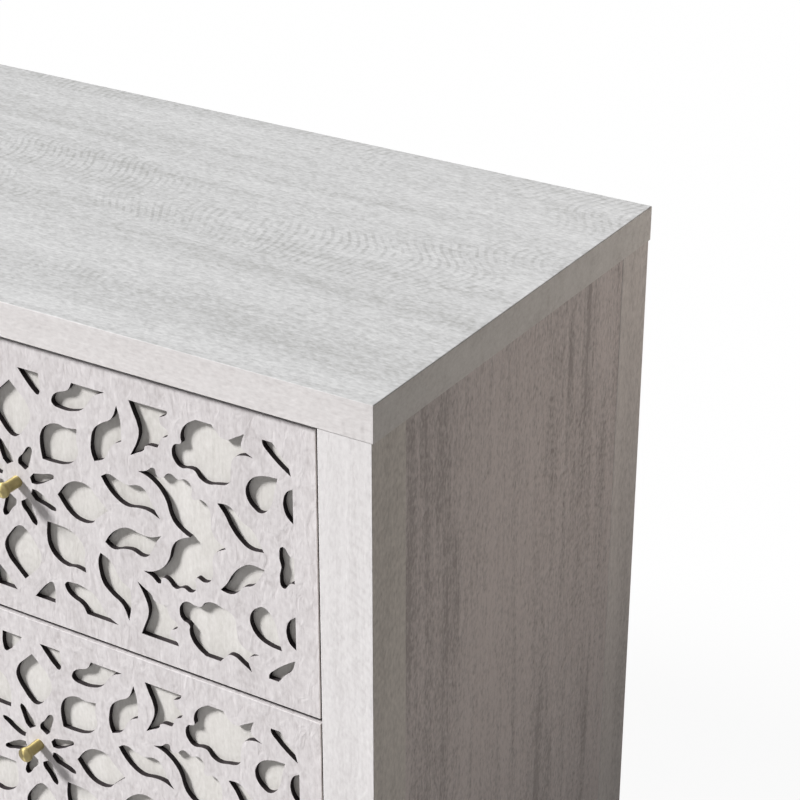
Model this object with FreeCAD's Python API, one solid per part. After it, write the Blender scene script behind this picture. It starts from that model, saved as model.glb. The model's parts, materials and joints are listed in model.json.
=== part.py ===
import FreeCAD, Part
import math
import os

# A dresser: a post and panel case with two columns of three drawers.
# Every drawer front is a plain board with a pierced fretwork panel and one brass knob.
# Millimetres. X runs to the right as seen from the front, Y to the back and Z up.

# Case
TOP_WIDTH = 1180.0
TOP_DEPTH = 400.0
TOP_THICKNESS = 28.0
TOP_EDGE_CHAMFER = 0.5
TOTAL_HEIGHT = 800.0
TOP_FRONT_REACH = 0.5
TOP_SIDE_REACH = 1.5
POST_SIDE = 42.3
FOOT_CHAMFER = 2.0
FOOT_CLEARANCE = 38.0
RAIL_HEIGHT = 36.0
RAIL_THICKNESS = 22.0
STILE_WIDTH = 27.0
PARTITION_THICKNESS = 20.0
SIDE_PANEL_THICKNESS = 15.0
SIDE_PANEL_INSET = 0.5
BACK_PANEL_THICKNESS = 5.0
BACK_PANEL_INSET = 8.0
BACK_PANEL_HOUSING = 8.0
BOTTOM_PANEL_THICKNESS = 12.0
RUNNER_HEIGHT = 18.0
RUNNER_REACH = 11.0

# Drawers
ROWS = ("bottom", "middle", "top")
COLUMNS = {"left": -1, "right": 1}
DRAWER_GAP = 4.0
DRAWER_SETBACK = 4.0
FRONT_THICKNESS = 15.0
DRAWER_SIDE_THICKNESS = 14.0
DRAWER_BACK_THICKNESS = 12.0
DRAWER_BOTTOM_THICKNESS = 5.0
DRAWER_BOTTOM_HOUSING = 6.0
DRAWER_BOTTOM_RAISE = 8.0
BOX_RAISE = 18.0
BOX_DROP = 27.3
BOX_SIDE_CLEARANCE = 5.0
BOX_REAR_CLEARANCE = 15.0
GROOVE_SEAT_CLEARANCE = 0.3
GROOVE_LOWER_CLEARANCE = 0.7
GROOVE_DEPTH_CLEARANCE = 0.5

# Knob, a turned form whose round is worked as a ring of flats
KNOB_SIDES = 24
KNOB_LENGTH = 19.0
KNOB_STEM_RADIUS = 4.5
KNOB_STEM_LENGTH = 12.0
KNOB_HEAD_RADIUS = 6.0
KNOB_BEVEL_LENGTH = 2.0
KNOB_FACE_RADIUS = 5.2

# Fretwork panel
FRET_THICKNESS = 4.3
FRET_BORDER = 19.1

# The pattern is drawn about the knob, to the right and up, and stretched until its outermost
# points lie on the panel's border. Round stretches are cut as short flats.
# Cut-outs that come in all four quarters:
QUARTER_CUTS = {
    "upright_petal": [(2, 16), (6.5, 25), (15.5, 33), (14, 23.5), (8, 11.5)],
    "lying_petal": [(11.7, 6.2), (14.5, 11), (35, 14.5), (21.7, 3.7), (13.6, 2)],
    "edge_horn": [(8.6, 94.25), (21.7, 79.3), (26.1, 77), (28, 80.5), (27.5, 94.25)],
    "edge_leaf": [(57.3, 94.25), (86.3, 94.25), (76.7, 89.3), (65.7, 75.8), (48, 70.9), (37.3, 73.4),
                  (43, 83)],
    "slanted_leaf": [(25.7, 25.7), (24.4, 38.6), (31.7, 54.3), (41.7, 58.2), (59.2, 58.7), (59.4, 40.5),
                     (46.7, 26.8)],
    "standing_leaf": [(96.4, 87.2), (91.1, 75.5), (74.8, 63), (71.3, 43.7), (73.6, 37.2), (82.3, 41.5),
                      (99, 59.7)],
    "edge_scroll": [(107.3, 94.25), (140.4, 94.25), (133, 87.7), (140.7, 77), (131.4, 65.2), (106.1, 50.9),
                    (114.8, 71.2)],
    "cloud_flower": [(164.2, 94.25), (177.3, 94.25), (186.7, 85.8), (204.2, 94.25), (202, 83), (211, 77.8),
                     (194.8, 73.4), (190.2, 53), (171.7, 47.4), (157.3, 54.9), (145, 57.4), (145, 70),
                     (152.3, 83.7)],
    "crescent": [(230.5, 68), (219.2, 66.8), (207.5, 60), (204, 49.9), (215.5, 37.2), (225.7, 48)],
    "edge_bowl": [(242.5, 63.4), (234.7, 54), (234.7, 46), (242.5, 36.5)],
    "corner_slot": [(218.8, 94.25), (227.7, 94.25), (240.5, 78.7), (241, 73), (224.2, 85.3)],
    "lying_leaf": [(78.6, 26.8), (85.5, 30.4), (103, 26.4), (118.5, 27), (116.1, 12.3), (129.5, 6.9),
                   (103, 8.9), (90.5, 13)],
    "slipper": [(179.8, 34.3), (189.8, 35.5), (208, 22), (217.7, 6.8), (205.5, 6.2), (190.5, 18.7)],
}

# Right half of the cut-out on the upright centre line, from its top tip to its foot:
UPRIGHT_CUTS = {
    "centre_bud": [(0, 82.2), (13.3, 69.3), (17.4, 59.3), (10.2, 44.9), (0, 36.9)],
}

# Upper halves of the cut-outs on the level centre line:
LEVEL_CUTS = {
    "knob_leaf": [(37.3, 0), (48, 12.4), (58, 16.2), (71.2, 11), (83.2, 0)],
    "lotus": [(155, 0), (142.3, 7.4), (136.1, 22.4), (125.5, 35.5), (112.2, 40.2), (126.5, 46.4),
              (132.3, 40.5), (139.8, 46.2), (147.3, 43.4), (156, 44), (159, 31.5), (171.5, 29.9),
              (175.5, 7.4), (185.7, 0)],
    "edge_tail": [(231.7, 0), (230.3, 8), (233, 16.3), (242.5, 10.3)],
}

# Heights closer than this count as the same
SAME_HEIGHT = 1e-6

# Places that several pieces share
KNOB_PROUD = KNOB_LENGTH - DRAWER_SETBACK - TOP_FRONT_REACH
TOTAL_DEPTH = TOP_DEPTH + KNOB_PROUD
TOP_BACK = TOTAL_DEPTH / 2
TOP_FRONT = TOP_BACK - TOP_DEPTH
CASE_FRONT = TOP_FRONT + TOP_FRONT_REACH
CASE_BACK = TOP_BACK
CASE_HALF_WIDTH = TOP_WIDTH / 2 - TOP_SIDE_REACH
CASE_TOP = TOTAL_HEIGHT - TOP_THICKNESS
POST_INNER = CASE_HALF_WIDTH - POST_SIDE
POST_REAR = CASE_FRONT + POST_SIDE
REAR_POST_FRONT = CASE_BACK - POST_SIDE
RAIL_TOP = FOOT_CLEARANCE + RAIL_HEIGHT
SIDE_PANEL_OUTER = CASE_HALF_WIDTH - SIDE_PANEL_INSET
SIDE_PANEL_INNER = SIDE_PANEL_OUTER - SIDE_PANEL_THICKNESS
BACK_PANEL_REAR = CASE_BACK - BACK_PANEL_INSET
BACK_PANEL_FRONT = BACK_PANEL_REAR - BACK_PANEL_THICKNESS
STILE_EDGE = STILE_WIDTH / 2
PARTITION_FACE = PARTITION_THICKNESS / 2

FRONT_WIDTH = POST_INNER - STILE_EDGE - 2 * DRAWER_GAP
FRONT_HEIGHT = (CASE_TOP - RAIL_TOP - (len(ROWS) + 1) * DRAWER_GAP) / len(ROWS)
ROW_PITCH = FRONT_HEIGHT + DRAWER_GAP
COLUMN_CENTRE = (POST_INNER + STILE_EDGE) / 2
FRET_FRONT = CASE_FRONT + DRAWER_SETBACK
BOARD_FRONT = FRET_FRONT + FRET_THICKNESS
BOX_FRONT = BOARD_FRONT + FRONT_THICKNESS
BOX_REAR = BACK_PANEL_FRONT - BOX_REAR_CLEARANCE
OPENING_HALF_WIDTH = (POST_INNER - STILE_EDGE) / 2
BOX_HALF_WIDTH = OPENING_HALF_WIDTH - BOX_SIDE_CLEARANCE
BOX_INNER = BOX_HALF_WIDTH - DRAWER_SIDE_THICKNESS
BOX_HEIGHT = FRONT_HEIGHT - BOX_RAISE - BOX_DROP
RUNNER_TIP = OPENING_HALF_WIDTH - RUNNER_REACH
RUNNER_RAISE = BOX_RAISE + (BOX_HEIGHT - RUNNER_HEIGHT) / 2


def box(x0, x1, y0, y1, z0, z1):
    low_x = min(x0, x1)
    return Part.makeBox(abs(x1 - x0), y1 - y0, z1 - z0, FreeCAD.Vector(low_x, y0, z0))


def flat_face(corners):
    return Part.Face(Part.makePolygon(corners + corners[:1]))


def write(name, *solids):
    shape = solids[0] if len(solids) == 1 else Part.makeCompound(list(solids))
    shape.exportStep(f"parts/{name}.step")


def edges_at_height(solid, height):
    return [edge for edge in solid.Edges if all(abs(v.Z - height) < SAME_HEIGHT for v in edge.Vertexes)]


def row_base(row):
    return RAIL_TOP + DRAWER_GAP + ROWS.index(row) * ROW_PITCH


def column_centre(column):
    return COLUMNS[column] * COLUMN_CENTRE


def make_top():
    board = box(-TOP_WIDTH / 2, TOP_WIDTH / 2, TOP_FRONT, TOP_BACK, CASE_TOP, TOTAL_HEIGHT)
    return board.makeChamfer(TOP_EDGE_CHAMFER, edges_at_height(board, TOTAL_HEIGHT))


def make_post(side, y0):
    post = box(side * POST_INNER, side * CASE_HALF_WIDTH, y0, y0 + POST_SIDE, 0, CASE_TOP)
    return post.makeChamfer(FOOT_CHAMFER, edges_at_height(post, 0))


def make_rear_post(side):
    groove = box(side * POST_INNER, side * (POST_INNER + BACK_PANEL_HOUSING),
                 BACK_PANEL_FRONT, BACK_PANEL_REAR, RAIL_TOP, CASE_TOP)
    return make_post(side, REAR_POST_FRONT).cut(groove)


def make_side_panel(side):
    return box(side * SIDE_PANEL_INNER, side * SIDE_PANEL_OUTER, POST_REAR, REAR_POST_FRONT,
               FOOT_CLEARANCE, CASE_TOP)


def make_back_panel():
    half_width = POST_INNER + BACK_PANEL_HOUSING
    return box(-half_width, half_width, BACK_PANEL_FRONT, BACK_PANEL_REAR, RAIL_TOP, CASE_TOP)


def make_rail(y0):
    return box(-POST_INNER, POST_INNER, y0, y0 + RAIL_THICKNESS, FOOT_CLEARANCE, RAIL_TOP)


def make_bottom_panel():
    y0 = CASE_FRONT + RAIL_THICKNESS
    y1 = CASE_BACK - RAIL_THICKNESS
    z0 = RAIL_TOP - BOTTOM_PANEL_THICKNESS
    panel = box(-SIDE_PANEL_INNER, SIDE_PANEL_INNER, y0, y1, z0, RAIL_TOP)
    for side in COLUMNS.values():
        for post_front in (CASE_FRONT, REAR_POST_FRONT):
            panel = panel.cut(make_post(side, post_front))
    return panel


def make_stile():
    return box(-STILE_EDGE, STILE_EDGE, CASE_FRONT, CASE_FRONT + RAIL_THICKNESS, RAIL_TOP, CASE_TOP)


def make_partition():
    return box(-PARTITION_FACE, PARTITION_FACE, CASE_FRONT + RAIL_THICKNESS, BACK_PANEL_FRONT,
               RAIL_TOP, CASE_TOP)


def make_runner(seat, tip, row):
    z0 = row_base(row) + RUNNER_RAISE
    return box(seat, tip, POST_REAR, REAR_POST_FRONT, z0, z0 + RUNNER_HEIGHT)


def make_side_runners(side):
    tip = side * (COLUMN_CENTRE + RUNNER_TIP)
    return [make_runner(side * SIDE_PANEL_INNER, tip, row) for row in ROWS]


def make_partition_runners(side):
    tip = side * (COLUMN_CENTRE - RUNNER_TIP)
    return [make_runner(side * PARTITION_FACE, tip, row) for row in ROWS]


def make_front_board(centre, base):
    half_width = FRONT_WIDTH / 2
    board = box(centre - half_width, centre + half_width, BOARD_FRONT, BOX_FRONT, base, base + FRONT_HEIGHT)
    half_groove = BOX_INNER + DRAWER_BOTTOM_HOUSING
    groove_base = base + BOX_RAISE + DRAWER_BOTTOM_RAISE
    groove = box(centre - half_groove, centre + half_groove, BOX_FRONT - DRAWER_BOTTOM_HOUSING, BOX_FRONT,
                 groove_base, groove_base + DRAWER_BOTTOM_THICKNESS)
    return board.cut(groove)


def make_drawer_side(centre, base, side):
    inner = centre + side * BOX_INNER
    outer = centre + side * BOX_HALF_WIDTH
    z0 = base + BOX_RAISE
    board = box(inner, outer, BOX_FRONT, BOX_REAR, z0, z0 + BOX_HEIGHT)
    groove_floor = centre + side * (RUNNER_TIP - GROOVE_DEPTH_CLEARANCE)
    runner_base = base + RUNNER_RAISE
    runner_groove = box(groove_floor, outer, BOX_FRONT, BOX_REAR, runner_base - GROOVE_LOWER_CLEARANCE,
                        runner_base + RUNNER_HEIGHT + GROOVE_SEAT_CLEARANCE)
    bottom_base = z0 + DRAWER_BOTTOM_RAISE
    bottom_groove = box(inner, inner + side * DRAWER_BOTTOM_HOUSING, BOX_FRONT, BOX_REAR, bottom_base,
                        bottom_base + DRAWER_BOTTOM_THICKNESS)
    return board.cut(runner_groove).cut(bottom_groove)


def make_drawer_bottom(centre, base):
    half_width = BOX_INNER + DRAWER_BOTTOM_HOUSING
    z0 = base + BOX_RAISE + DRAWER_BOTTOM_RAISE
    return box(centre - half_width, centre + half_width, BOX_FRONT - DRAWER_BOTTOM_HOUSING, BOX_REAR,
               z0, z0 + DRAWER_BOTTOM_THICKNESS)


def make_drawer_back(centre, base):
    z0 = base + BOX_RAISE + DRAWER_BOTTOM_RAISE + DRAWER_BOTTOM_THICKNESS
    z1 = base + BOX_RAISE + BOX_HEIGHT
    return box(centre - BOX_INNER, centre + BOX_INNER, BOX_REAR - DRAWER_BACK_THICKNESS, BOX_REAR, z0, z1)


def make_knob(centre, base):
    profile = [
        (KNOB_STEM_RADIUS, 0),
        (KNOB_STEM_RADIUS, KNOB_STEM_LENGTH),
        (KNOB_HEAD_RADIUS, KNOB_LENGTH - KNOB_BEVEL_LENGTH),
        (KNOB_FACE_RADIUS, KNOB_LENGTH),
    ]
    seat = FreeCAD.Vector(centre, FRET_FRONT, base + FRONT_HEIGHT / 2)
    turns = [2 * math.pi * k / KNOB_SIDES for k in range(KNOB_SIDES)]

    def ring(radius, reach):
        return [seat + FreeCAD.Vector(radius * math.cos(t), -reach, radius * math.sin(t)) for t in turns]

    rings = [ring(radius, reach) for radius, reach in profile]
    faces = [flat_face(rings[0]), flat_face(rings[-1])]
    for near, far in zip(rings, rings[1:]):
        faces += [flat_face([near[k - 1], near[k], far[k], far[k - 1]]) for k in range(KNOB_SIDES)]
    return Part.makeSolid(Part.makeShell(faces))


def pattern_outlines():
    outlines = []
    for points in QUARTER_CUTS.values():
        outlines += [[(i * u, k * v) for u, v in points] for i in (1, -1) for k in (1, -1)]
    for points in UPRIGHT_CUTS.values():
        whole = points + [(-u, v) for u, v in reversed(points[1:-1])]
        outlines += [[(u, k * v) for u, v in whole] for k in (1, -1)]
    for points in LEVEL_CUTS.values():
        whole = points + [(u, -v) for u, v in reversed(points) if v != 0]
        outlines += [[(i * u, v) for u, v in whole] for i in (1, -1)]
    return outlines


def make_fretwork(centre, base):
    edge_u = FRONT_WIDTH / 2
    edge_v = FRONT_HEIGHT / 2
    outlines = pattern_outlines()
    stretch_u = (edge_u - FRET_BORDER) / max(u for points in outlines for u, v in points)
    stretch_v = (edge_v - FRET_BORDER) / max(v for points in outlines for u, v in points)

    def closed_wire(points):
        corners = [FreeCAD.Vector(centre + u, FRET_FRONT, base + edge_v + v) for u, v in points]
        return Part.makePolygon(corners + corners[:1])

    rim = closed_wire([(-edge_u, -edge_v), (edge_u, -edge_v), (edge_u, edge_v), (-edge_u, edge_v)])
    cuts = [closed_wire([(u * stretch_u, v * stretch_v) for u, v in points]) for points in outlines]
    sheet = Part.makeFace([rim] + cuts, "Part::FaceMakerBullseye")
    return sheet.extrude(FreeCAD.Vector(0, FRET_THICKNESS, 0))


def write_case():
    write("top_board", make_top())
    for column, side in COLUMNS.items():
        write(f"front_{column}_post", make_post(side, CASE_FRONT))
        write(f"rear_{column}_post", make_rear_post(side))
        write(f"{column}_side_panel", make_side_panel(side))
        write(f"{column}_side_runners", *make_side_runners(side))
        write(f"{column}_partition_runners", *make_partition_runners(side))
    write("back_panel", make_back_panel())
    write("bottom_panel", make_bottom_panel())
    write("front_bottom_rail", make_rail(CASE_FRONT))
    write("rear_bottom_rail", make_rail(CASE_BACK - RAIL_THICKNESS))
    write("centre_stile", make_stile())
    write("centre_partition", make_partition())


def write_drawer(row, column):
    name = f"{row}_{column}_drawer"
    centre = column_centre(column)
    base = row_base(row)
    write(f"{name}_front", make_front_board(centre, base))
    write(f"{name}_fretwork", make_fretwork(centre, base))
    write(f"{name}_left_side", make_drawer_side(centre, base, COLUMNS["left"]))
    write(f"{name}_right_side", make_drawer_side(centre, base, COLUMNS["right"]))
    write(f"{name}_back", make_drawer_back(centre, base))
    write(f"{name}_bottom", make_drawer_bottom(centre, base))
    write(f"{name}_knob", make_knob(centre, base))


os.makedirs("parts", exist_ok=True)
write_case()
for row in ROWS:
    for column in COLUMNS:
        write_drawer(row, column)
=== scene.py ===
import json
import math

import bmesh
import bpy
from mathutils import Matrix, Vector


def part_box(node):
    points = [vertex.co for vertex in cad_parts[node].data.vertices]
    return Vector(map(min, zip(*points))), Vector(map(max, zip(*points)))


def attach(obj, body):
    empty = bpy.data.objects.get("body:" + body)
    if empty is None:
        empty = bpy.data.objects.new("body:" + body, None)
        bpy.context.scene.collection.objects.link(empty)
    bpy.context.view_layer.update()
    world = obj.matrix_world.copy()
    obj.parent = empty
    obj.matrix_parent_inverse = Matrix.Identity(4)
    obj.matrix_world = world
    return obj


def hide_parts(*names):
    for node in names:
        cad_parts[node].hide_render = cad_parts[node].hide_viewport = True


# The looks of a whitewashed dresser with pierced drawer fronts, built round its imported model.
# Metres. X runs to the right as seen from the front, Y to the back and Z up.

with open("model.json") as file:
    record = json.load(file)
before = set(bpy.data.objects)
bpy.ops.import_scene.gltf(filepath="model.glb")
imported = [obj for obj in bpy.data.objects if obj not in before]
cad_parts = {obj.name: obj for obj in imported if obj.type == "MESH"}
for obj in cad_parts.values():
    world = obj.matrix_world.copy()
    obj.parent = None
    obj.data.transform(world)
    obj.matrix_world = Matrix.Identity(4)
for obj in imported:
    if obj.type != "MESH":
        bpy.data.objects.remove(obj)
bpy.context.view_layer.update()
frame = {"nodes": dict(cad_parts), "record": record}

MM = 0.001

# Edges, rounded in a few steps. A face looks along an axis where that share of its normal is over FACING.
ARRIS = 0.4 * MM
THIN_ARRIS = 0.3 * MM
ARRIS_STEPS = 2
SHARP_ANGLE = math.radians(25)
TURNED_SHARP_ANGLE = math.radians(40)
SAME_PLACE = 0.001 * MM
SAME_PLANE = math.radians(0.5)
FACING = 0.7

# Boards: ending of the name, axis of the grain, rounding of the edges, axis along which the first finish
# looks, and the finishes. The first row that fits counts.
BOARDS = (
    # The top, its edges and its ends take lit and shaded copies of one whitewash: painted light and shade.
    ("top_board", "X", THIN_ARRIS, "Z", ("top", "edge", "end")),
    # The posts' faces that look sideways take darker copies of their finish: painted shade.
    ("rear_left_post", "Z", ARRIS, "Y", ("post", "rear_side_painted_shade")),
    ("rear_right_post", "Z", ARRIS, "Y", ("post", "rear_side_painted_shade")),
    ("_post", "Z", ARRIS, "Y", ("post", "post_side_painted_shade")),
    ("_rail", "X", ARRIS, "Y", ("post",)),
    ("_stile", "Z", ARRIS, "Y", ("post",)),
    # The side panels take a darker copy of the whitewash: painted shade.
    ("_side_panel", "Z", THIN_ARRIS, "X", ("side",)),
    ("_partition", "Z", THIN_ARRIS, "X", ("pine",)),
    ("_runners", "Y", THIN_ARRIS, "X", ("pine",)),
    ("back_panel", "X", THIN_ARRIS, "Y", ("plywood",)),
    ("bottom_panel", "X", THIN_ARRIS, "Z", ("plywood",)),
    # The drawer fronts' edges are dark: painted shade in the gaps between the drawers.
    ("_drawer_front", "Z", THIN_ARRIS, "Y", ("front", "scorched_wall_and_gap_shade")),
    ("_drawer_left_side", "Y", THIN_ARRIS, "X", ("pine",)),
    ("_drawer_right_side", "Y", THIN_ARRIS, "X", ("pine",)),
    ("_drawer_back", "X", THIN_ARRIS, "Y", ("pine",)),
    ("_drawer_bottom", "X", THIN_ARRIS, "Z", ("plywood",)),
)

# Fretwork panel. The finish of its face wraps round its outer edge by FINISH_WRAP. Behind that, its upright
# outer edges are dark, as painted shade in the gaps beside the drawers.
FRET_BORDER = 19.1 * MM
FRET_RIM = 0.4 * MM
FINISH_WRAP = 1.0 * MM
RIM_STEPS = 3
STEPS_PER_CURVE = 5

# The cut-outs, in millimetres from the knob, to the right and up. A point with SHARP is a corner,
# and the line runs smoothly through the others.
SHARP = True

# Cut-outs that come in all four quarters
QUARTER_CUTS = {
    "upright_petal": [(2.3, 15.6, SHARP), (2.6, 19.2), (7, 24.4), (13.8, 32.2), (15.6, 31.8), (14.4, 22.9),
                      (12, 15.2, SHARP), (8.4, 11.8, SHARP)],
    "lying_petal": [(12.3, 6.8, SHARP), (16, 11, SHARP), (25.5, 13.2), (33.2, 15), (35, 14), (29.6, 8.8),
                    (21.7, 4), (18, 2.6), (13.8, 2.4, SHARP)],
    "edge_horn": [(8.6, 94.25, SHARP), (16.7, 84.3), (21.7, 79.3), (26.1, 77), (28, 80.5),
                  (27.5, 94.25, SHARP)],
    "edge_leaf": [(57.3, 94.25, SHARP), (86.3, 94.25, SHARP), (76.7, 89.3), (65.7, 75.8), (58.2, 72.5),
                  (47, 71.2), (38.4, 74), (38.9, 78.6), (43, 83), (53.6, 88)],
    "slanted_leaf": [(25.7, 25.7, SHARP), (24.4, 38.6), (26.1, 47.4), (31.7, 54.3), (41.7, 58.2),
                     (49.2, 57.1), (59.2, 58.7, SHARP), (58.3, 48), (59.4, 40.5), (54.8, 31.8),
                     (46.7, 27.1), (36.7, 25.7)],
    "standing_leaf": [(96.4, 87.2, SHARP), (91.1, 75.5), (81.7, 69.3), (74.8, 63), (71.7, 53.7),
                      (71.3, 43.7), (73.6, 37.2, SHARP), (82.3, 41.5), (91.1, 54.9), (99, 59.7, SHARP),
                      (99.2, 73.7)],
    "edge_scroll": [(107.3, 94.25, SHARP), (140.4, 94.25, SHARP), (139.8, 91.8), (133, 87.7, SHARP),
                    (134.2, 83), (139.8, 79.3), (140.7, 77, SHARP), (139.4, 74.7), (134.2, 71.8),
                    (131.4, 65.2), (130.5, 63.7, SHARP), (119.8, 61.8), (118.6, 58.7), (111.7, 54.3),
                    (106.1, 50.9, SHARP), (112.3, 62.4), (114.8, 71.2), (113.6, 78.7), (110.5, 86.2)],
    "cloud_flower": [(164.2, 94.25, SHARP), (177.3, 94.25, SHARP), (180.5, 90.5), (186.7, 85.8), (198, 90.5),
                     (204.2, 94.25, SHARP), (201.5, 84.3), (202.3, 82.7), (211.1, 77.8, SHARP), (204.2, 78),
                     (194.8, 73.4), (192.2, 64), (190.2, 53), (179.2, 48.7), (171.7, 47.4), (165.5, 49.9),
                     (161.7, 54.3), (157.3, 54.9), (149.8, 53.7), (144.8, 57.4), (142.7, 63.7),
                     (144.8, 69.9), (151.1, 73), (150.7, 77.4), (152.3, 83.7), (156.7, 89.3)],
    "crescent": [(230.5, 68, SHARP), (219.2, 66.8), (210.5, 63), (205.2, 56.2), (204, 49.9), (206.1, 43.7),
                 (210.5, 39.3), (215.5, 37.2), (221.7, 40.9), (225.7, 48), (227.7, 57)],
    "edge_bowl": [(242.5, 63.4, SHARP), (237.2, 59.3), (234.6, 52), (234.8, 47.4), (237.2, 41.2),
                  (242.5, 36.5, SHARP)],
    "corner_slot": [(218.8, 94.25, SHARP), (227, 94.25, SHARP), (232.8, 87), (239, 80.3),
                    (241.5, 72.4, SHARP), (231.7, 79), (224.2, 85.3), (219.2, 90.9)],
    "lying_leaf": [(78.6, 26.8, SHARP), (85.5, 30.4), (95.5, 27.4), (103, 26.4), (111.7, 28.7), (116.8, 27),
                   (120.3, 22.3), (125.4, 12.6), (129.5, 6.9, SHARP), (119.2, 10.5), (110.2, 10.3),
                   (103, 8.9), (98, 9.3), (90.5, 13), (83.6, 19.3)],
    "slipper": [(179.8, 34.3, SHARP), (182.3, 35), (189.8, 34.8), (195.7, 30.5), (199.6, 26.2), (208, 22),
                (217.7, 6.8, SHARP), (205.5, 6.2), (198, 10.5), (190.5, 18.7), (185.5, 27.4)],
}

# Right half of the cut-out on the upright centre line, from its top tip to its foot
UPRIGHT_CUTS = {
    "centre_bud": [(0, 82.2, SHARP), (8.3, 74.3), (13.3, 69.3), (15.8, 64.9), (17.4, 59.3), (16.4, 54.3),
                   (10.2, 44.9), (5.2, 39.3), (0, 36.9)],
}

# Upper halves of the cut-outs on the level centre line
LEVEL_CUTS = {
    "knob_leaf": [(37.3, 0, SHARP), (48, 12.4), (58, 16.2), (68, 14.3), (71.2, 11), (80.2, 2.5),
                  (83.2, 0, SHARP)],
    "lotus": [(155, 0, SHARP), (151.7, 1.2), (142.3, 7.4), (138.6, 13.7), (136.1, 22.4), (131.7, 29.9),
              (125.5, 35.5), (119.2, 38.7), (112.2, 40.2, SHARP), (119.2, 42.4), (126.5, 46.4),
              (128.6, 41.2), (132.3, 40.5), (139.8, 46.2), (147.3, 43.4), (153, 45.2), (158.2, 41.5),
              (159, 31.5), (165.5, 33), (171.5, 29.9), (175.5, 7.4), (185.7, 0, SHARP)],
    "edge_tail": [(231.7, 0), (230.3, 8), (233, 16.3), (239.5, 10.5), (242.5, 10.2, SHARP)],
}

# Knob and its screw, turned about Y: radius and reach of each ring, in millimetres
LATHE_STEPS = 48
KNOB_PROFILE = [(4.5, 0), (4.5, 11.4), (4.6, 12.2), (4.9, 13.4), (5.4, 14.6), (5.8, 15.4), (6, 16), (6, 17.2),
                (5.9, 17.7), (5.6, 18.1), (4.8, 18.45), (3.4, 18.75), (1.8, 18.95), (0, 19)]
SCREW_PROFILE = [(5, 0), (5, 0.8), (4.8, 1), (3.7, 1), (3.7, 1.6), (3.4, 2.4), (2.6, 3), (1.4, 3.3), (0, 3.4)]
RECESS_WIDTH = 0.9 * MM
RECESS_REACH = 2.1 * MM
RECESS_DEPTH = 1.6 * MM

# Camera, found from the photograph's edges and corners
CAMERA_PLACE = (1.29839, -1.30585, 1.46556)
CAMERA_TURN = math.radians(31.730)
CAMERA_TILT = math.radians(26.627)
CAMERA_LENS = 104.607
CAMERA_SENSOR = 36.0

# Light. The key comes from the front left, high up. Area lamps fill in: place, target, watts, size, colour.
KEY_FROM = (-1.47, -1.0, 1.27)
KEY_STRENGTH = 5.0
KEY_ANGLE = math.radians(11)
FILLS = {
    "front_fill": ((-0.2, -3.0, 1.2), (0.2, 0, 0.5), 8.0, 2.0, (1.0, 0.97, 0.95)),
    "side_fill": ((1.0, 0.05, 0.67), (0.59, 0.05, 0.67), 0.32, 0.4, (1.0, 0.86, 0.74)),
    "back_fill": ((0.72, 0.38, 0.79), (0.59, 0.2, 0.77), 0.15, 0.2, (1.0, 0.88, 0.78)),
}
AMBIENT = (0.04, 0.04, 0.04)

# Floor: its half width, its tone to the light, and the share of plain white that the camera sees
FLOOR_HALF = 9.0
FLOOR_TONE = 0.4
FLOOR_WHITE = 0.95

# Grain. Boards are numbered from FIRST_BOARD on, and each number cuts another stretch of the same wood.
# The top has a number of its own, whose bands lie about as in the photograph.
GRAIN = "grain"
FIRST_BOARD = 144
OWN_NUMBERS = {"top_board": 544}
BOARDS_APART = Vector((0.713, 0.291, 0.417))
BAND_LENGTH = 20  # times its width

# Whitewashes: the colours of their pale parts, their middle tone and their streaks. Several are lit and
# shaded copies of one whitewash, painted to stand in for the light that falls on each face.
WASH_COLOURS = {
    # Painted shade: the top is made greyer and cooler than its front and back edges and the posts, which
    # stand as lit copies of the same whitewash.
    "top": ((0.75, 0.75, 0.75), (0.605, 0.605, 0.605), (0.445, 0.445, 0.435)),
    "edge": ((0.80, 0.77, 0.765), (0.68, 0.65, 0.645), (0.52, 0.49, 0.485)),
    # Painted shade: the top board's ends are darker and warmer than its edges, as shade on faces that look
    # sideways.
    "end": ((0.705, 0.685, 0.66), (0.60, 0.58, 0.555), (0.46, 0.435, 0.415)),
    "post": ((0.84, 0.815, 0.815), (0.74, 0.715, 0.715), (0.60, 0.57, 0.57)),
    # Painted shade: the side panels are much darker and warmer than the front faces, as shade on the sides.
    "side": ((0.60, 0.54, 0.52), (0.485, 0.437, 0.422), (0.335, 0.296, 0.282)),
    # Painted shade: the posts' faces that look sideways are darker and warmer than their fronts.
    "post_side_painted_shade": ((0.66, 0.62, 0.57), (0.54, 0.505, 0.465), (0.40, 0.37, 0.34)),
    # Painted shade: the rear posts' sideways faces, darker than their fronts and a little lighter than the
    # front posts' sides.
    "rear_side_painted_shade": ((0.67, 0.625, 0.595), (0.56, 0.52, 0.495), (0.415, 0.38, 0.36)),
    "front": ((0.83, 0.805, 0.78), (0.71, 0.685, 0.655), (0.58, 0.555, 0.525)),
    "fretwork": ((0.77, 0.735, 0.74), (0.655, 0.62, 0.625), (0.51, 0.475, 0.475)),
}

# How strongly the marks of a whitewash show, where that isn't as on most boards
WASH_MARKS = {
    "top": {"wide": 0.5, "narrow": 0.35, "mottled": 0.6, "fine": 1.0, "saw": 0.24},
    "edge": {"saw": 0.2},
    "side": {"wide": 0.85, "narrow": 1.4, "mottled": 1.1, "fine": 1.6, "rough": 0.8, "bands_per_metre": 10},
    "post_side_painted_shade": {"narrow": 0.5, "mottled": 0.7, "fine": 1.0, "rough": 0.4},
    "rear_side_painted_shade": {"narrow": 0.5, "mottled": 0.7, "fine": 1.0, "rough": 0.4},
    "fretwork": {"wide": 0.3, "narrow": 0.15, "mottled": 1.1, "fine": 0.7},
}


# Node helpers

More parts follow.
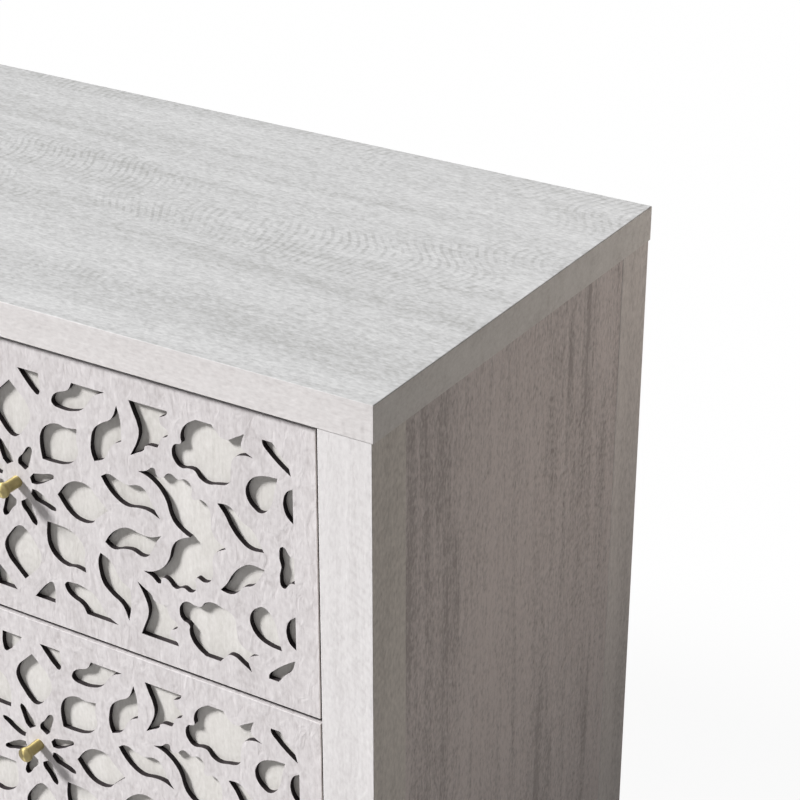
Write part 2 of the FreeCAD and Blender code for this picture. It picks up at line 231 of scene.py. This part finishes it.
def add(tree, kind, inputs=None, **settings):
    """A new shader node, with its settings, and its inputs set to values or linked to sockets."""
    node = tree.nodes.new(kind)
    for name, value in settings.items():
        setattr(node, name, value)
    for name, value in (inputs or {}).items():
        if isinstance(value, bpy.types.NodeSocket):
            tree.links.new(value, node.inputs[name])
        else:
            node.inputs[name].default_value = value
    return node


def new_finish(name):
    material = bpy.data.materials.new(name)
    material.use_nodes = True
    return material, material.node_tree, material.node_tree.nodes["Principled BSDF"]


def grain_place(tree, stretch):
    """The place on a board as (along, across, deep) in metres, times stretch."""
    place = add(tree, "ShaderNodeAttribute", attribute_name=GRAIN)
    scaled = add(tree, "ShaderNodeVectorMath", {0: place.outputs["Vector"], 1: stretch}, operation="MULTIPLY")
    return scaled.outputs[0]


def noise(tree, place, detail=2.0, distortion=0.0):
    settings = {"Vector": place, "Scale": 1.0, "Detail": detail, "Distortion": distortion}
    return add(tree, "ShaderNodeTexNoise", settings).outputs["Fac"]


def between(tree, value, low, high):
    """0 where value is under low, 1 over high, and a soft step between."""
    inputs = {"Value": value, "From Min": low, "From Max": high}
    return add(tree, "ShaderNodeMapRange", inputs, interpolation_type="SMOOTHSTEP").outputs["Result"]


def calculate(tree, operation, first, second):
    return add(tree, "ShaderNodeMath", {0: first, 1: second}, operation=operation).outputs[0]


def weighted(tree, start, parts):
    """start plus the sum of each value times its weight."""
    total = start
    for value, weight in parts:
        inputs = {0: value, 1: weight, 2: total}
        total = add(tree, "ShaderNodeMath", inputs, operation="MULTIPLY_ADD").outputs[0]
    return total


def ramp(tree, value, stops):
    node = add(tree, "ShaderNodeValToRGB", {"Fac": value})
    elements = node.color_ramp.elements
    elements[0].position, elements[1].position = stops[0][0], stops[-1][0]
    elements[0].color, elements[1].color = (*stops[0][1], 1), (*stops[-1][1], 1)
    for position, colour in stops[1:-1]:
        elements.new(position).color = (*colour, 1)
    return node.outputs["Color"]


def relief(tree, shader, height, depth):
    bump = add(tree, "ShaderNodeBump", {"Height": height, "Distance": depth, "Strength": 1.0})
    tree.links.new(bump.outputs["Normal"], shader.inputs["Normal"])


# Finishes

def saw_marks(tree):
    """Shallow arcs across the grain, in patches, as a coarse saw leaves them."""
    sway = noise(tree, grain_place(tree, (1, 10, 10)), 1)
    place = add(tree, "ShaderNodeAttribute", attribute_name=GRAIN)
    split = add(tree, "ShaderNodeSeparateXYZ", {0: place.outputs["Vector"]})
    along = weighted(tree, split.outputs["X"], [(sway, 0.14)])
    row = add(tree, "ShaderNodeCombineXYZ", {"X": along})
    arcs = add(tree, "ShaderNodeTexWave", {"Vector": row.outputs[0], "Scale": 44.0}, bands_direction="X")
    patches = between(tree, noise(tree, grain_place(tree, (4, 13, 13)), 2), 0.5, 0.62)
    broken = between(tree, noise(tree, grain_place(tree, (130, 90, 90)), 1), 0.3, 0.55)
    shown = calculate(tree, "MULTIPLY", patches, broken)
    return calculate(tree, "MULTIPLY", between(tree, arcs.outputs["Fac"], 0.3, 1.0), shown)


def whitewash(name, colours, wide=0.4, narrow=0.3, mottled=0.5, fine=0.6, saw=0.12, rough=0.25,
              bands_per_metre=34):
    """White lime wash over sawn oak: soft bands and drifting streaks along the grain, mottling, fine fibre
    and saw marks. wide, narrow, mottled, fine and saw say how strongly each of them shows, and rough how
    deep the surface is in millimetres."""
    material, tree, shader = new_finish(name)
    pale, shade, streak = colours
    band_stretch = (bands_per_metre / BAND_LENGTH, bands_per_metre, bands_per_metre)
    bands = noise(tree, grain_place(tree, band_stretch), 2)
    mottle = noise(tree, grain_place(tree, (70, 120, 120)), 3, 1.2)
    drift = noise(tree, grain_place(tree, (5, 120, 120)), 3, 0.5)
    veins = between(tree, noise(tree, grain_place(tree, (2.2, 46, 46)), 2, 0.8), 0.5, 0.75)
    fibre = noise(tree, grain_place(tree, (40, 800, 800)), 2)
    fleck = noise(tree, grain_place(tree, (220, 420, 420)), 2)
    marks = saw_marks(tree)
    parts = [(bands, 1.5 * wide), (drift, 0.9 * narrow), (veins, -0.5 * narrow), (mottle, mottled),
             (fibre, 0.5 * fine), (fleck, 1.3 * fine), (marks, -saw)]
    tone = weighted(tree, 0.55 - 0.75 * wide - 0.35 * narrow - 0.5 * mottled - 0.9 * fine, parts)
    colour = ramp(tree, tone, [(0, streak), (0.5, shade), (1, pale)])
    tree.links.new(colour, shader.inputs["Base Color"])
    roughness = weighted(tree, 0.5, [(fibre, 0.2), (marks, 0.1)])
    tree.links.new(roughness, shader.inputs["Roughness"])
    shader.inputs["Specular IOR Level"].default_value = 0.3
    heights = [(fibre, 0.3), (fleck, 0.3), (mottle, 2 * mottled), (marks, saw)]
    relief(tree, shader, weighted(tree, 0.0, heights), rough * MM)
    return material


def scorched_wall_and_gap_shade():
    """The dark scorched wall of the fretwork's cut-outs. It also goes on the drawer fronts' edges and the
    panels' upright outer edges, where its dark is painted shade in the gaps.
    """
    material, tree, shader = new_finish("scorched_cut_and_gap_shade")
    ripple = noise(tree, grain_place(tree, (900, 900, 60)), 2)
    colour = ramp(tree, ripple, [(0.3, (0.020, 0.016, 0.017)), (0.7, (0.038, 0.031, 0.033))])
    tree.links.new(colour, shader.inputs["Base Color"])
    shader.inputs["Roughness"].default_value = 0.8
    shader.inputs["Specular IOR Level"].default_value = 0.2
    relief(tree, shader, ripple, 0.1 * MM)
    return material


def bare_wood():
    """Sanded softwood: curved growth rings along the board, with fine fibre."""
    material, tree, shader = new_finish("bare_wood")
    place = grain_place(tree, (1.4, 22, 22))
    sway = noise(tree, grain_place(tree, (2.5, 14, 14)), 2)
    rings = add(tree, "ShaderNodeTexWave", {"Vector": place, "Scale": 1.1, "Distortion": 5.0, "Detail": 2.0,
                                            "Detail Scale": 0.8}, wave_type="RINGS", rings_direction="X",
                wave_profile="SAW")
    fibre = noise(tree, grain_place(tree, (18, 700, 700)), 2)
    tone = weighted(tree, -0.15, [(rings.outputs["Fac"], 0.45), (fibre, 0.5), (sway, 0.4)])
    colour = ramp(tree, tone, [(0, (0.70, 0.55, 0.37)), (0.5, (0.64, 0.47, 0.29)), (1, (0.47, 0.31, 0.17))])
    tree.links.new(colour, shader.inputs["Base Color"])
    tree.links.new(weighted(tree, 0.5, [(fibre, 0.25)]), shader.inputs["Roughness"])
    shader.inputs["Specular IOR Level"].default_value = 0.3
    relief(tree, shader, fibre, 0.15 * MM)
    return material


def plywood():
    """Peeled veneer: wide wavering figure and short dark pores."""
    material, tree, shader = new_finish("plywood_veneer")
    figure = noise(tree, grain_place(tree, (2.4, 13, 13)), 3, 1.4)
    pores = noise(tree, grain_place(tree, (45, 900, 900)), 2)
    contour = add(tree, "ShaderNodeMath", {0: calculate(tree, "MULTIPLY", figure, 14.0)}, operation="FRACT")
    tone = weighted(tree, 0.0, [(contour.outputs[0], 0.35), (figure, 0.5), (pores, 0.5)])
    colour = ramp(tree, tone, [(0.2, (0.74, 0.60, 0.43)), (0.6, (0.66, 0.51, 0.34)), (1, (0.52, 0.37, 0.22))])
    tree.links.new(colour, shader.inputs["Base Color"])
    tree.links.new(weighted(tree, 0.55, [(pores, 0.2)]), shader.inputs["Roughness"])
    shader.inputs["Specular IOR Level"].default_value = 0.3
    relief(tree, shader, pores, 0.15 * MM)
    return material


def brass():
    """Aged brass under lacquer, turned, so that its highlights run across the turning lines."""
    material, tree, shader = new_finish("aged_brass")
    tarnish = noise(tree, grain_place(tree, (160, 160, 160)), 3)
    lines = noise(tree, grain_place(tree, (5200, 60, 60)), 2)
    colour = ramp(tree, tarnish, [(0.3, (0.25, 0.20, 0.075)), (0.7, (0.36, 0.295, 0.125))])
    tree.links.new(colour, shader.inputs["Base Color"])
    shader.inputs["Metallic"].default_value = 1.0
    tree.links.new(weighted(tree, 0.46, [(lines, 0.14), (tarnish, 0.1)]), shader.inputs["Roughness"])
    tangent = add(tree, "ShaderNodeTangent", direction_type="RADIAL", axis="Y")
    tree.links.new(tangent.outputs[0], shader.inputs["Tangent"])
    shader.inputs["Anisotropic"].default_value = 0.85
    shader.inputs["Anisotropic Rotation"].default_value = 0.25
    shader.inputs["Coat Weight"].default_value = 0.6
    shader.inputs["Coat Roughness"].default_value = 0.4
    relief(tree, shader, lines, 0.02 * MM)
    return material


def make_finishes():
    """Every finish by its name."""
    finishes = {}
    for name, colours in WASH_COLOURS.items():
        finishes[name] = whitewash(f"whitewash_{name}", colours, **WASH_MARKS.get(name, {}))
    finishes["scorched_wall_and_gap_shade"] = scorched_wall_and_gap_shade()
    finishes["pine"] = bare_wood()
    finishes["plywood"] = plywood()
    finishes["brass"] = brass()
    return finishes


# Shapes

def store_grain(mesh, axis, number):
    """Gives each point its place along, across and deep in the board, apart from every other board's."""
    order = {"X": (0, 2, 1), "Y": (1, 2, 0), "Z": (2, 0, 1)}[axis]
    layer = mesh.attributes.new(GRAIN, "FLOAT_VECTOR", "POINT")
    for vertex, value in zip(mesh.vertices, layer.data):
        value.vector = Vector([vertex.co[k] for k in order]) + BOARDS_APART * number


def new_piece(name, mesh, materials):
    piece = bpy.data.objects.new(name, mesh)
    bpy.context.scene.collection.objects.link(piece)
    for material in materials:
        mesh.materials.append(material)
    return piece


def body_with(node):
    bodies = frame["record"]["behaviour"]["bodies"]
    return next(body for body, members in bodies.items() if node in members)


def stand_in(piece, node):
    """The piece moves as the node does, and is shown instead of it."""
    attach(piece, body_with(node))
    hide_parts(node)


def eased_copy(node, arris):
    """The node's mesh with flat faces made whole and its sharp edges rounded."""
    shape = bmesh.new()
    shape.from_mesh(frame["nodes"][node].data)
    bmesh.ops.remove_doubles(shape, verts=shape.verts, dist=SAME_PLACE)
    bmesh.ops.dissolve_limit(shape, angle_limit=SAME_PLANE, verts=shape.verts, edges=shape.edges)
    flat = set(shape.faces)
    edges = [edge for edge in shape.edges if edge.calc_face_angle(0) > SHARP_ANGLE]
    rounded = bmesh.ops.bevel(shape, geom=edges, offset=arris, segments=ARRIS_STEPS, profile=0.5,
                              affect="EDGES")
    for face in rounded["faces"]:
        face.smooth = face not in flat
    mesh = bpy.data.meshes.new(node)
    shape.to_mesh(mesh)
    shape.free()
    return mesh


def cut_outlines():
    """Every cut-out of a panel, mirrored from the drawn quarters and halves."""
    outlines = []
    for points in QUARTER_CUTS.values():
        outlines += [[(i * p[0], k * p[1], *p[2:]) for p in points] for i in (1, -1) for k in (1, -1)]
    for points in UPRIGHT_CUTS.values():
        whole = points + [(-p[0], *p[1:]) for p in reversed(points) if p[0] != 0]
        outlines += [[(p[0], k * p[1], *p[2:]) for p in whole] for k in (1, -1)]
    for points in LEVEL_CUTS.values():
        whole = points + [(p[0], -p[1], *p[2:]) for p in reversed(points) if p[1] != 0]
        outlines += [[(i * p[0], *p[1:]) for p in whole] for i in (1, -1)]
    return outlines


def add_outline(curve, points):
    spline = curve.splines.new("BEZIER")
    spline.bezier_points.add(len(points) - 1)
    spline.use_cyclic_u = True
    for knot, point in zip(spline.bezier_points, points):
        knot.co = (point[0], point[1], 0)
        handle = "VECTOR" if SHARP in point[2:] else "AUTO"
        knot.handle_left_type = knot.handle_right_type = handle


def add_rim(shape, half_u, half_v, half_thickness):
    """The outer edge of a panel, rounded at its face: rings of four corners from the face to the back."""
    turns = [math.pi / 2 * k / RIM_STEPS for k in range(RIM_STEPS + 1)]
    profile = [(FRET_RIM * (1 - math.sin(t)), half_thickness - FRET_RIM * (1 - math.cos(t))) for t in turns]
    profile += [(0, half_thickness - FINISH_WRAP), (0, -half_thickness), (FRET_RIM, -half_thickness)]
    rings = []
    for inset, height in profile:
        u, v = half_u - inset, half_v - inset
        corners = ((u, v, height), (-u, v, height), (-u, -v, height), (u, -v, height))
        rings.append([shape.verts.new(corner) for corner in corners])
    for near, far in zip(rings, rings[1:]):
        for k in range(4):
            shape.faces.new((near[k - 1], near[k], far[k], far[k - 1])).smooth = True
            shape.edges.get((near[k], far[k])).smooth = False


def fretwork_mesh(width, height, thickness):
    """The pierced panel, flat in X and Y about its middle, with its face towards +Z. The second material goes
    on the walls of its cut-outs, and on its upright outer edges behind the finish that wraps round them,
    where it is painted shade in the gaps beside the drawers."""
    outlines = cut_outlines()
    stretch_u = (width / 2 - FRET_BORDER) / max(p[0] for points in outlines for p in points)
    stretch_v = (height / 2 - FRET_BORDER) / max(p[1] for points in outlines for p in points)
    curve = bpy.data.curves.new("fretwork_outline", "CURVE")
    curve.dimensions = "2D"
    curve.fill_mode = "BOTH"
    curve.resolution_u = STEPS_PER_CURVE
    curve.extrude = thickness / 2
    edge_u, edge_v = width / 2 - FRET_RIM, height / 2 - FRET_RIM
    add_outline(curve, [(-edge_u, -edge_v, SHARP), (edge_u, -edge_v, SHARP), (edge_u, edge_v, SHARP),
                        (-edge_u, edge_v, SHARP)])
    for points in outlines:
        add_outline(curve, [(p[0] * stretch_u, p[1] * stretch_v, *p[2:]) for p in points])
    drawn = bpy.data.objects.new("fretwork_outline", curve)
    bpy.context.scene.collection.objects.link(drawn)
    mesh = bpy.data.meshes.new_from_object(drawn.evaluated_get(bpy.context.evaluated_depsgraph_get()))
    bpy.data.objects.remove(drawn)
    bpy.data.curves.remove(curve)
    mesh.materials.clear()
    shape = bmesh.new()
    shape.from_mesh(mesh)
    walls = [face for face in shape.faces if abs(face.normal.z) < FACING]
    for face in walls:
        face.material_index = 1
    hidden = [face for face in walls if max(abs(face.calc_center_median().x) - edge_u,
                                            abs(face.calc_center_median().y) - edge_v) > -SAME_PLACE]
    bmesh.ops.delete(shape, geom=hidden, context="FACES")
    add_rim(shape, width / 2, height / 2, thickness / 2)
    bmesh.ops.remove_doubles(shape, verts=shape.verts, dist=SAME_PLACE)
    bmesh.ops.recalc_face_normals(shape, faces=shape.faces)
    for face in shape.faces:
        middle = face.calc_center_median()
        # Upright outer edges behind the wrapped finish take the dark wall material: painted shade in the gaps
        # beside the drawers.
        if abs(middle.x) > width / 2 - SAME_PLACE and middle.z < thickness / 2 - FINISH_WRAP:
            face.material_index = 1
    shape.to_mesh(mesh)
    shape.free()
    return mesh


def turned_mesh(name, profile, outward):
    """A form turned about Y from the origin, reaching along outward, which is -1 or 1."""
    shape = bmesh.new()
    points = [shape.verts.new((radius * MM, outward * reach * MM, 0)) for radius, reach in profile]
    edges = [shape.edges.new(pair) for pair in zip(points, points[1:])]
    bmesh.ops.spin(shape, geom=points + edges, axis=(0, 1, 0), cent=(0, 0, 0), angle=2 * math.pi,
                   steps=LATHE_STEPS, use_merge=True)
    bmesh.ops.remove_doubles(shape, verts=shape.verts, dist=SAME_PLACE)
    foot = [edge for edge in shape.edges if edge.is_boundary]
    bmesh.ops.contextual_create(shape, geom=foot)
    bmesh.ops.recalc_face_normals(shape, faces=shape.faces)
    mesh = bpy.data.meshes.new(name)
    shape.to_mesh(mesh)
    shape.free()
    mesh.shade_smooth()
    mesh.set_sharp_from_angle(angle=TURNED_SHARP_ANGLE)
    return mesh


def cross_mesh():
    """The form of the cross recess in a screw's head."""
    half = RECESS_WIDTH / 2
    floor = SCREW_PROFILE[-1][1] * MM - RECESS_DEPTH
    corners = ((RECESS_REACH, floor, -half), (RECESS_REACH, floor, half), (half, floor, half))
    arm = [Vector(corner) for corner in corners]
    turns = [Matrix.Rotation(-math.pi / 2 * k, 3, "Y") for k in range(4)]
    shape = bmesh.new()
    outline = shape.faces.new([shape.verts.new(turn @ corner) for turn in turns for corner in arm])
    raised = bmesh.ops.extrude_face_region(shape, geom=[outline])["geom"]
    raised_corners = [part for part in raised if isinstance(part, bmesh.types.BMVert)]
    bmesh.ops.translate(shape, verts=raised_corners, vec=(0, 2 * RECESS_DEPTH, 0))
    bmesh.ops.recalc_face_normals(shape, faces=shape.faces)
    mesh = bpy.data.meshes.new("recess")
    shape.to_mesh(mesh)
    shape.free()
    return mesh


def screw_mesh():
    """A washer and a round screw head with a cross recess, reaching along +Y from the origin."""
    head = bpy.data.objects.new("screw", turned_mesh("screw", SCREW_PROFILE, 1))
    recess = bpy.data.objects.new("recess", cross_mesh())
    for drawn in (head, recess):
        bpy.context.scene.collection.objects.link(drawn)
    head.modifiers.new("recess", "BOOLEAN").object = recess
    mesh = bpy.data.meshes.new_from_object(head.evaluated_get(bpy.context.evaluated_depsgraph_get()))
    for drawn in (head, recess):
        bpy.data.objects.remove(drawn)
    return mesh


# Pieces

def mark_sides(mesh, axis, faced, last):
    """Keeps the first material on the faces that look along the axis named faced, and gives the last one to
    those that look along the grain's axis, and the second to all others."""
    for face in mesh.polygons:
        if abs(face.normal["XYZ".index(faced)]) < FACING:
            face.material_index = last if abs(face.normal["XYZ".index(axis)]) > FACING else 1


def dress_board(node, axis, arris, faced, materials, number):
    """A board with its edges eased. Of two or more materials, the first goes on the faces that look along the
    axis named faced, the last on the end grain and the second on all others."""
    mesh = eased_copy(node, arris)
    store_grain(mesh, axis, number)
    if len(materials) > 1:
        mark_sides(mesh, axis, faced, len(materials) - 1)
    stand_in(new_piece(f"{node}_board", mesh, materials), node)


def make_fretwork(node, pattern, face, wall, number):
    low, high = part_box(node)
    mesh = pattern.copy()
    mesh.transform(Matrix.Translation((low + high) / 2) @ Matrix.Rotation(math.pi / 2, 4, "X"))
    store_grain(mesh, "Z", number)
    stand_in(new_piece(f"{node}_panel", mesh, [face, wall]), node)


def make_knob(node, material, number):
    low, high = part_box(node)
    mesh = turned_mesh(node, KNOB_PROFILE, -1)
    mesh.transform(Matrix.Translation(((low.x + high.x) / 2, high.y, (low.z + high.z) / 2)))
    store_grain(mesh, "Y", number)
    stand_in(new_piece(f"{node}_turned", mesh, [material]), node)


def make_screw(node, screw, material, number):
    """The screw that holds a knob, on the inner face of its front board."""
    low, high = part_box(node)
    mesh = screw.copy()
    mesh.transform(Matrix.Translation(((low.x + high.x) / 2, high.y, (low.z + high.z) / 2)))
    store_grain(mesh, "Y", number)
    piece = new_piece(f"{node}_screw", mesh, [material])
    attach(piece, body_with(node))


# Stage

def make_floor():
    half = FLOOR_HALF
    mesh = bpy.data.meshes.new("floor")
    corners = [(-half, -half, 0), (half, -half, 0), (half, half, 0), (-half, half, 0)]
    mesh.from_pydata(corners, [], [(0, 1, 2, 3)])
    material = bpy.data.materials.new("pale_floor")
    material.use_nodes = True
    tree = material.node_tree
    shader = tree.nodes["Principled BSDF"]
    seen = seen_ray(tree)
    tree.links.new(weighted(tree, FLOOR_TONE, [(seen, 1 - FLOOR_TONE)]), shader.inputs["Base Color"])
    shader.inputs["Roughness"].default_value = 0.9
    shader.inputs["Specular IOR Level"].default_value = 0.0
    white = add(tree, "ShaderNodeEmission", {"Color": (1, 1, 1, 1), "Strength": 1.0})
    share = calculate(tree, "MULTIPLY", seen, FLOOR_WHITE)
    mixed = add(tree, "ShaderNodeMixShader", {0: share, 1: shader.outputs[0], 2: white.outputs[0]})
    tree.links.new(mixed.outputs[0], tree.nodes["Material Output"].inputs["Surface"])
    floor = new_piece("floor", mesh, [material])


def seen_ray(tree):
    """1 for rays from the camera, also by way of a mirror or glass, and 0 for light."""
    path = add(tree, "ShaderNodeLightPath").outputs
    either = calculate(tree, "MAXIMUM", path["Is Camera Ray"], path["Is Glossy Ray"])
    return calculate(tree, "MAXIMUM", either, path["Is Transmission Ray"])


def make_world():
    world = bpy.data.worlds.new("studio")
    world.use_nodes = True
    bpy.context.scene.world = world
    tree = world.node_tree
    tree.nodes.clear()
    ambient = add(tree, "ShaderNodeBackground", {"Color": (*AMBIENT, 1), "Strength": 1.0})
    white = add(tree, "ShaderNodeBackground", {"Color": (1, 1, 1, 1), "Strength": 1.0})
    mixed = add(tree, "ShaderNodeMixShader", {0: seen_ray(tree), 1: ambient.outputs[0], 2: white.outputs[0]})
    add(tree, "ShaderNodeOutputWorld", {"Surface": mixed.outputs[0]})


def add_lamp(name, kind, place, target, **settings):
    lamp = bpy.data.lights.new(name, kind)
    for setting, value in settings.items():
        setattr(lamp, setting, value)
    holder = bpy.data.objects.new(name, lamp)
    holder.location = place
    holder.rotation_euler = (Vector(target) - Vector(place)).to_track_quat("-Z", "Y").to_euler()
    holder.visible_camera = False
    bpy.context.scene.collection.objects.link(holder)


def make_lights():
    add_lamp("key", "SUN", KEY_FROM, (0, 0, 0), energy=KEY_STRENGTH, angle=KEY_ANGLE)
    for name, (place, target, watts, size, colour) in FILLS.items():
        add_lamp(name, "AREA", place, target, energy=watts, size=size, color=colour)


def make_camera():
    camera = bpy.data.objects.new("camera", bpy.data.cameras.new("camera"))
    camera.location = CAMERA_PLACE
    camera.rotation_euler = (math.pi / 2 - CAMERA_TILT, 0, CAMERA_TURN)
    camera.data.sensor_fit = "HORIZONTAL"
    camera.data.sensor_width = CAMERA_SENSOR
    camera.data.lens = CAMERA_LENS
    bpy.context.scene.collection.objects.link(camera)
    bpy.context.scene.camera = camera


def make_pieces():
    finishes = make_finishes()
    low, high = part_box("top_right_drawer_fretwork")
    pattern = fretwork_mesh(high.x - low.x, high.z - low.z, high.y - low.y)
    screw = screw_mesh()
    for count, node in enumerate(sorted(frame["nodes"]), FIRST_BOARD):
        number = OWN_NUMBERS.get(node, count)
        if node.endswith("_fretwork"):
            make_fretwork(node, pattern, finishes["fretwork"], finishes["scorched_wall_and_gap_shade"], number)
        elif node.endswith("_knob"):
            make_knob(node, finishes["brass"], number)
        else:
            axis, arris, faced, names = next(row[1:] for row in BOARDS if node.endswith(row[0]))
            dress_board(node, axis, arris, faced, [finishes[name] for name in names], number)
        if node.endswith("_drawer_front"):
            make_screw(node, screw, finishes["brass"], number)


make_pieces()
make_floor()
make_world()
make_lights()
make_camera()
bpy.context.scene.view_settings.view_transform = "Standard"
